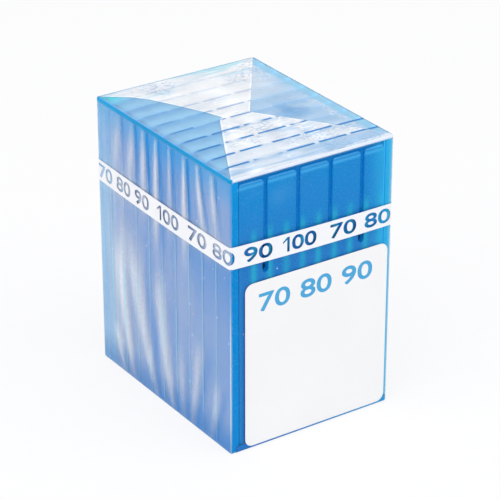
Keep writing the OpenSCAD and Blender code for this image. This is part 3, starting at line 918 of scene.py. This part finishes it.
# %% Outlines of numbers
def number_outlines(text, height, width, bold):
    """The outlines of a number in the built-in font, scaled to a height and width, starting at 0.

    Every point moves by bold along its outline's normal: outer edges grow and inner ones shrink."""
    letters = bpy.data.curves.new("digits", "FONT")
    letters.body = text
    holder = bpy.data.objects.new("digits", letters)
    scene.collection.objects.link(holder)
    bpy.context.view_layer.update()
    bpy.ops.object.select_all(action="DESELECT")
    bpy.context.view_layer.objects.active = holder
    holder.select_set(True)
    bpy.ops.object.convert(target="CURVE")
    outlines = []
    for spline in holder.data.splines:
        knots = len(spline.bezier_points)
        parts = {}
        for key in ("co", "handle_left", "handle_right"):
            flat = np.zeros(knots * 3)
            spline.bezier_points.foreach_get(key, flat)
            parts[key] = flat.reshape(-1, 3)[:, :2]
        t = np.linspace(0, 1, 6, endpoint=False)[:, None, None]
        a, b = parts["co"], parts["handle_right"]
        c, d = np.roll(parts["handle_left"], -1, 0), np.roll(a, -1, 0)
        path = a * (1 - t) ** 3 + 3 * b * t * (1 - t) ** 2 + 3 * c * t * t * (1 - t) + d * t ** 3
        outlines.append(path.transpose(1, 0, 2).reshape(-1, 2))
    bpy.data.objects.remove(holder)
    every = np.vstack(outlines)
    low, high = every.min(0), every.max(0)
    scaled = [bold + (o - low) / (high - low) * [width - 2 * bold, height - 2 * bold] for o in outlines]
    after, before = np.roll(scaled[0], -1, 0), scaled[0]
    turns = np.sign(np.sum(before[:, 0] * after[:, 1] - after[:, 0] * before[:, 1]))
    grown = []
    for o in scaled:
        way = np.roll(o, -1, 0) - np.roll(o, 1, 0)
        way /= np.linalg.norm(way, axis=1, keepdims=True)
        grown.append(o + turns * bold * np.stack([way[:, 1], -way[:, 0]], axis=1))
    return grown


print("a zero has", len(number_outlines("0", 1.0, 1.0, 0.0)), "outlines")

# %% [markdown]
# A flat curve that is filled between its outlines by the even-odd rule gives a strip with holes, and
# white islands inside the zeros. It is made a mesh, and cut across at short steps so that it can bend.


# %% A flat strip with holes
def add_outline(curve, outline):
    """Adds rows of (x, y) to a curve as one closed outline."""
    spline = curve.splines.new("POLY")
    spline.points.add(len(outline) - 1)
    flat = np.zeros((len(outline), 4))
    flat[:, :2] = outline
    flat[:, 3] = 1
    spline.points.foreach_set("co", flat.ravel())
    spline.use_cyclic_u = True


def flat_mesh(name, outlines):
    """A mesh of the area between outlines, filled by the even-odd rule, all faces looking up."""
    curve = bpy.data.curves.new(name, "CURVE")
    curve.dimensions, curve.fill_mode = "2D", "BOTH"
    for outline in outlines:
        add_outline(curve, outline)
    holder = bpy.data.objects.new(name + "_flat", curve)
    scene.collection.objects.link(holder)
    bpy.context.view_layer.update()
    mesh = bpy.data.meshes.new_from_object(holder.evaluated_get(bpy.context.evaluated_depsgraph_get()))
    mesh.name = name
    bpy.data.objects.remove(holder)
    work = bmesh.new()
    work.from_mesh(mesh)
    work.normal_update()
    bmesh.ops.reverse_faces(work, faces=[f for f in work.faces if f.normal.z < 0])
    work.to_mesh(mesh)
    work.free()
    return mesh


def cut_across(mesh, places):
    """Cuts a flat mesh along lines of equal x, so that it can bend there."""
    work = bmesh.new()
    work.from_mesh(mesh)
    for place in places:
        bmesh.ops.bisect_plane(
            work, geom=work.verts[:] + work.edges[:] + work.faces[:], dist=1e-7,
            plane_co=(place, 0, 0), plane_no=(1, 0, 0))
    bmesh.ops.triangulate(work, faces=work.faces[:])
    work.to_mesh(mesh)
    work.free()


def lay(mesh, shape):
    """Moves each point of a flat mesh to the place that shape gives for its x and y."""
    flat = np.zeros(len(mesh.vertices) * 3)
    mesh.vertices.foreach_get("co", flat)
    mesh.vertices.foreach_set("co", np.stack(shape(*flat.reshape(-1, 3)[:, :2].T), axis=1).ravel())
    mesh.update()


print("flat strips can be drawn, cut and bent")

# %% [markdown]
# The strip repeats a count of needles and three needle sizes all the way round. The "1" is drawn as a
# plain flag, since the font's own is thin. The strip is 5.3 mm wide and as long as its ring.

# %% Printed band, drawn flat
BAND_W = 5.3 * MM
BAND_T = 0.05 * MM
BAND_HX, BAND_HY, BAND_R = band_hi.x - BAND_T, band_hi.y - BAND_T, 0.9 * MM
BAND_L = ring_length(BAND_HX, BAND_HY, BAND_R)
# Where each "100" starts, in mm along the front from its left corner; below 0 it is on the left side
NUMBERS = [13.5, -29.0, -68.0, 56.0, 96.5]
# Where the two bars at the strip's lap stand
BARS = [106.4, 107.7]
# Where each "70 80 90" starts and how long it is
SIZES = [(26.2, 26.5), (-54.7, 22.3), (-16.2, 27.0), (68.7, 24.6), (109.2, 18.0)]
DIGIT_H = 3.6 * MM
BOLD = 0.13 * MM
STROKE = 0.72 * MM
# The strip's left end, where it laps at the back
START = -70 * MM
flag = np.array([(0, 0.72), (0.62, 1), (1, 1), (1, 0), (0.62, 0), (0.62, 0.8), (0, 0.6)])
total = [flag * [STROKE / 0.4, DIGIT_H]]
total += [o + [2.4 * MM, 0] for o in number_outlines("00", DIGIT_H, 6.6 * MM, BOLD)]
bar = np.array([(0, -0.5), (1, -0.5), (1, 0.5), (0, 0.5)])
outlines = [bar * [BAND_L, BAND_W] + [START, 0]]
for place in NUMBERS:
    outlines += [o + [place * MM, -DIGIT_H / 2] for o in total]
for place in BARS:
    outlines.append(bar * [0.7 * MM, DIGIT_H] + [place * MM, 0])
for place, length in SIZES:
    sizes = number_outlines("70 80 90", DIGIT_H, length * MM, BOLD)
    outlines += [o + [place * MM, -DIGIT_H / 2] for o in sizes]
band_mesh = flat_mesh("printed_band_film", outlines)
corners = np.array([0, 2 * BAND_HX, 2 * BAND_HX + 2 * BAND_HY, -2 * BAND_HY])
fine = (corners[:, None] + np.linspace(-1.6, 1.6, 17) * MM).ravel()
coarse = np.arange(START / MM + 2, (START + BAND_L) / MM, 2.0) * MM
cut_across(band_mesh, np.concatenate([fine, coarse]))
print("flat band has", len(band_mesh.polygons), "triangles")

# %% [markdown]
# The band lies a little slack. It touches the pack at the four corners and bulges between them, and it
# slopes: its middle drops towards the right and rises towards the back.

# %% Printed band, bent round the pack
BAND_FALL = math.tan(math.radians(1.0))
BAND_RISE = math.tan(math.radians(0.6))


def round_the_pack(along, up):
    """The place of a point of the strip: the ring at its way along, moved outwards by the slack, and
    its height above the band's middle line, which slopes and sags."""
    way = (along - BAND_R * math.pi / 4) / BAND_L
    base, out = ring(way, BAND_HX, BAND_HY, BAND_R)
    u, v = base[:, 0] / BAND_HX, base[:, 1] / BAND_HY
    slack = np.clip(1 - u ** 2, 0, 1) * np.abs(out[:, 1]) + np.clip(1 - v ** 2, 0, 1) * np.abs(out[:, 0])
    z = BAND_Z - base[:, 0] * BAND_FALL + base[:, 1] * BAND_RISE - 0.15 * MM * slack
    xy = base + out * (0.25 * MM * slack)[:, None]
    return xy[:, 0], xy[:, 1], z + up


def white_paper(name, colour):
    """Matt paper or print: nearly one colour, a little darker in slow clouds, with a fine grain."""
    paper = Finish(name)
    fibre = paper.noise(1500.0, 4.0)
    cloud = paper.noise(60.0, 2.0)
    faint = tuple(0.96 * c for c in colour[:3]) + (1.0,)
    return paper.done(paper.node("ShaderNodeBsdfPrincipled", sockets={
        "Base Color": paper.mix(cloud, colour, faint),
        "Roughness": fibre * 0.2 + 0.45,
        "Specular IOR Level": 0.2,
        "Normal": paper.bump(fibre, 0.01 * MM, 0.3)}))


lay(band_mesh, round_the_pack)
band = bpy.data.objects.new("printed_band_film", band_mesh)
scene.collection.objects.link(band)
dress(thicken(band, BAND_T), white_paper("band_white", paint(244, 245, 249)))
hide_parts("printed_band")
print("band round the pack")

# %% [markdown]
# The label is plain paper with the three needle sizes in pale blue. The print is a flat mesh of its own,
# a few thousandths of a millimetre in front of the paper, so its edges stay sharp without a picture.

# %% Label and its print
assign(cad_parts["label"], white_paper("label_paper", paint(244, 244, 245)))


def pale_ink():
    """Blue ink, slightly mottled."""
    ink = Finish("label_ink")
    mottle = ink.noise(900.0, 3.0)
    return ink.done(ink.node("ShaderNodeBsdfPrincipled", sockets={
        "Base Color": ink.mix(mottle, paint(66, 160, 212), paint(84, 172, 220)),
        "Roughness": mottle * 0.2 + 0.45,
        "Specular IOR Level": 0.1}))


def on_label(along, up):
    """The place of a point of the print: upright and just in front of the paper."""
    return along, np.full_like(along, label_lo.y - 0.002 * MM), label_hi.z - 7.6 * MM + up


outlines = number_outlines("70 80 90", 4.6 * MM, 31 * MM, 0.12 * MM)
ink_mesh = flat_mesh("label_print", [o + [label_lo.x + 3.6 * MM, 0] for o in outlines])
lay(ink_mesh, on_label)
ink = bpy.data.objects.new("label_print", ink_mesh)
scene.collection.objects.link(ink)
dress(thicken(ink, 0.008 * MM), pale_ink())
print(f"label {(label_hi.x - label_lo.x) / MM:.1f} x {(label_hi.z - label_lo.z) / MM:.1f} mm, printed")

# %% [markdown]
# The film's folds and the slack band stand a little outside the solids.
